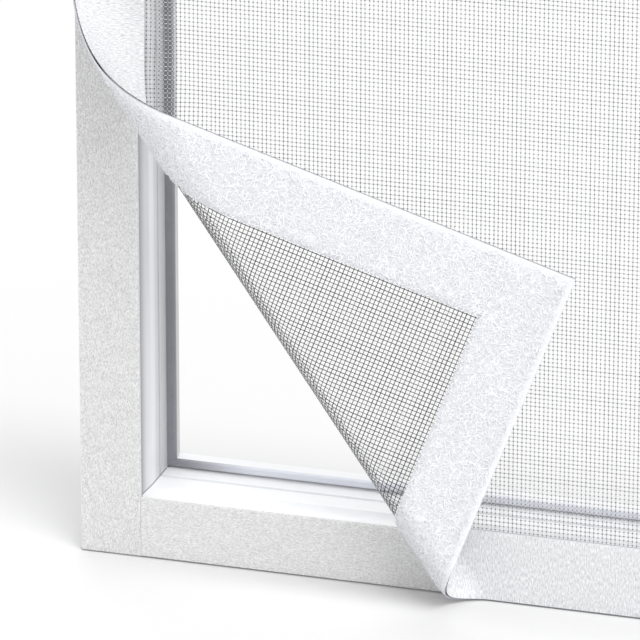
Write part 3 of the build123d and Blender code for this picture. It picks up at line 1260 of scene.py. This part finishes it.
@dataclass
class Studio:
    """Pale floor, soft light and the camera."""

    aim: tuple[float, float, float] = (-0.0862, -0.018, 0.0808)
    azimuth: float = math.radians(17.04)
    elevation: float = math.radians(21.0)
    distance: float = 2.0
    lens: float = 389.9
    floor_size: float = 4.0
    floor_colour: Colour = (0.74, 0.74, 0.74)
    glow_near: float = 0.06
    glow_far: float = 0.85
    glow_starts: float = 20.0 * MM
    glow_ends: float = 105.0 * MM
    sky: float = 0.8
    lamps: tuple[Lamp, ...] = (
        Lamp("front_lamp", 1.95, math.radians(50.0), math.radians(53.0), math.radians(38.0)),
        Lamp("back_lamp", 0.65, math.radians(195.0), math.radians(60.0), math.radians(35.0)),
    )

    @staticmethod
    def direction(azimuth: float, elevation: float) -> Vector:
        """Gives the unit vector from the object towards an azimuth and elevation, in front of it at 0."""
        level = math.cos(elevation)
        return Vector((math.sin(azimuth) * level, -math.cos(azimuth) * level, math.sin(elevation)))

    def build(self) -> None:
        """Builds the whole studio."""
        bpy.context.scene.view_settings.view_transform = "Standard"
        self.build_camera()
        self.build_floor()
        self.build_light()

    def build_camera(self) -> None:
        """Sets the camera at the photograph's viewing angle."""
        data = bpy.data.cameras.new("camera")
        data.lens = self.lens
        data.clip_start = 0.01
        camera = bpy.data.objects.new("camera", data)
        towards = self.direction(self.azimuth, self.elevation)
        camera.location = Vector(self.aim) + towards * self.distance
        camera.rotation_euler = towards.to_track_quat("Z", "Y").to_euler()
        bpy.context.scene.collection.objects.link(camera)
        bpy.context.scene.camera = camera

    @staticmethod
    def seen_directly(tree: ShaderTree) -> Socket:
        """Finds the rays that show a surface in the picture, in a reflection or through glass.

        Args:
            tree: The nodes that need it.

        Returns:
            A value of 1 for such rays and 0 for the light itself.
        """
        path = tree.add("ShaderNodeLightPath").outputs
        seen = tree.math("MAXIMUM", path["Is Camera Ray"], path["Is Glossy Ray"])
        return tree.math("MAXIMUM", seen, path["Is Transmission Ray"])

    def floor_paper(self) -> Material:
        """Makes the floor's material, which keeps a shadow near the frame and fades to white."""
        material = bpy.data.materials.new("floor_paper")
        tree = ShaderTree.of(material)
        paper = tree.add(
            "ShaderNodeBsdfPrincipled",
            {"Base Color": (*self.floor_colour, 1.0), "Roughness": 0.9, "Specular IOR Level": 0.0},
        )
        white = tree.add("ShaderNodeEmission", {"Color": (1.0, 1.0, 1.0, 1.0), "Strength": 1.0})
        away = tree.math("ABSOLUTE", tree.split(tree.object_place())[1])
        glow = tree.remap(
            away, (self.glow_starts, self.glow_ends), (self.glow_near, self.glow_far), smooth=True
        )
        share = tree.math("MULTIPLY", self.seen_directly(tree), glow)
        blend = tree.add(
            "ShaderNodeMixShader", {0: share, 1: paper.outputs["BSDF"], 2: white.outputs["Emission"]}
        )
        tree.add("ShaderNodeOutputMaterial", {"Surface": blend.outputs["Shader"]})
        return material

    def build_floor(self) -> None:
        """Lays the floor just under the frame."""
        bm = bmesh.new()
        bmesh.ops.create_grid(bm, x_segments=4, y_segments=4, size=self.floor_size)
        mesh = bpy.data.meshes.new("floor")
        bm.to_mesh(mesh)
        bm.free()
        mesh.materials.append(self.floor_paper())
        floor = bpy.data.objects.new("floor", mesh)
        bpy.context.scene.collection.objects.link(floor)

    def build_light(self) -> None:
        """Lights the studio with an even sky, which looks white itself, and broad soft lamps."""
        world = bpy.data.worlds.new("studio_sky")
        bpy.context.scene.world = world
        tree = ShaderTree.of(world)
        strength = tree.add("ShaderNodeMix", {"Factor": self.seen_directly(tree), "A": self.sky, "B": 1.0})
        background = tree.add(
            "ShaderNodeBackground", {"Color": (1.0, 1.0, 1.0, 1.0), "Strength": strength.outputs["Result"]}
        )
        tree.add("ShaderNodeOutputWorld", {"Surface": background.outputs["Background"]})
        for lamp in self.lamps:
            data = bpy.data.lights.new(lamp.name, "SUN")
            data.energy = lamp.strength
            data.angle = lamp.spread
            light = bpy.data.objects.new(lamp.name, data)
            towards = self.direction(lamp.azimuth, lamp.elevation)
            light.rotation_euler = towards.to_track_quat("Z", "Y").to_euler()
            bpy.context.scene.collection.objects.link(light)


def main() -> None:
    """Builds the studio, dresses the frame and makes the screen."""
    logging.basicConfig(level=logging.INFO, format="%(name)s %(message)s")
    Studio().build()
    WindowFrame().dress()
    layers = Layers.from_frame()
    peel = Peel(layers)
    InsectMesh(peel, MeshSizes()).build()
    upright_weave, level_weave = FACE_UPRIGHT_SHADED.build(), FACE_LEVEL.build()
    cloth, fibre = LOOP_CLOTH_SHADED.build(), LOOP_FIBRE.build()
    pile = LoopPile(peel)
    for side in Side:
        tape = BorderTape(peel, side, TapeSizes())
        tape.build_face(upright_weave if tape.upright else level_weave)
        tape.build_loop(cloth)
        if tape.peeled:
            pile.build(tape, fibre)
    tips = HOOK_TIPS.build()
    hooks = HookField(peel)
    for side in (Side.LEFT, Side.BOTTOM):
        hooks.build(side, HookSizes(), tips)


if __name__ == "__main__":
    main()
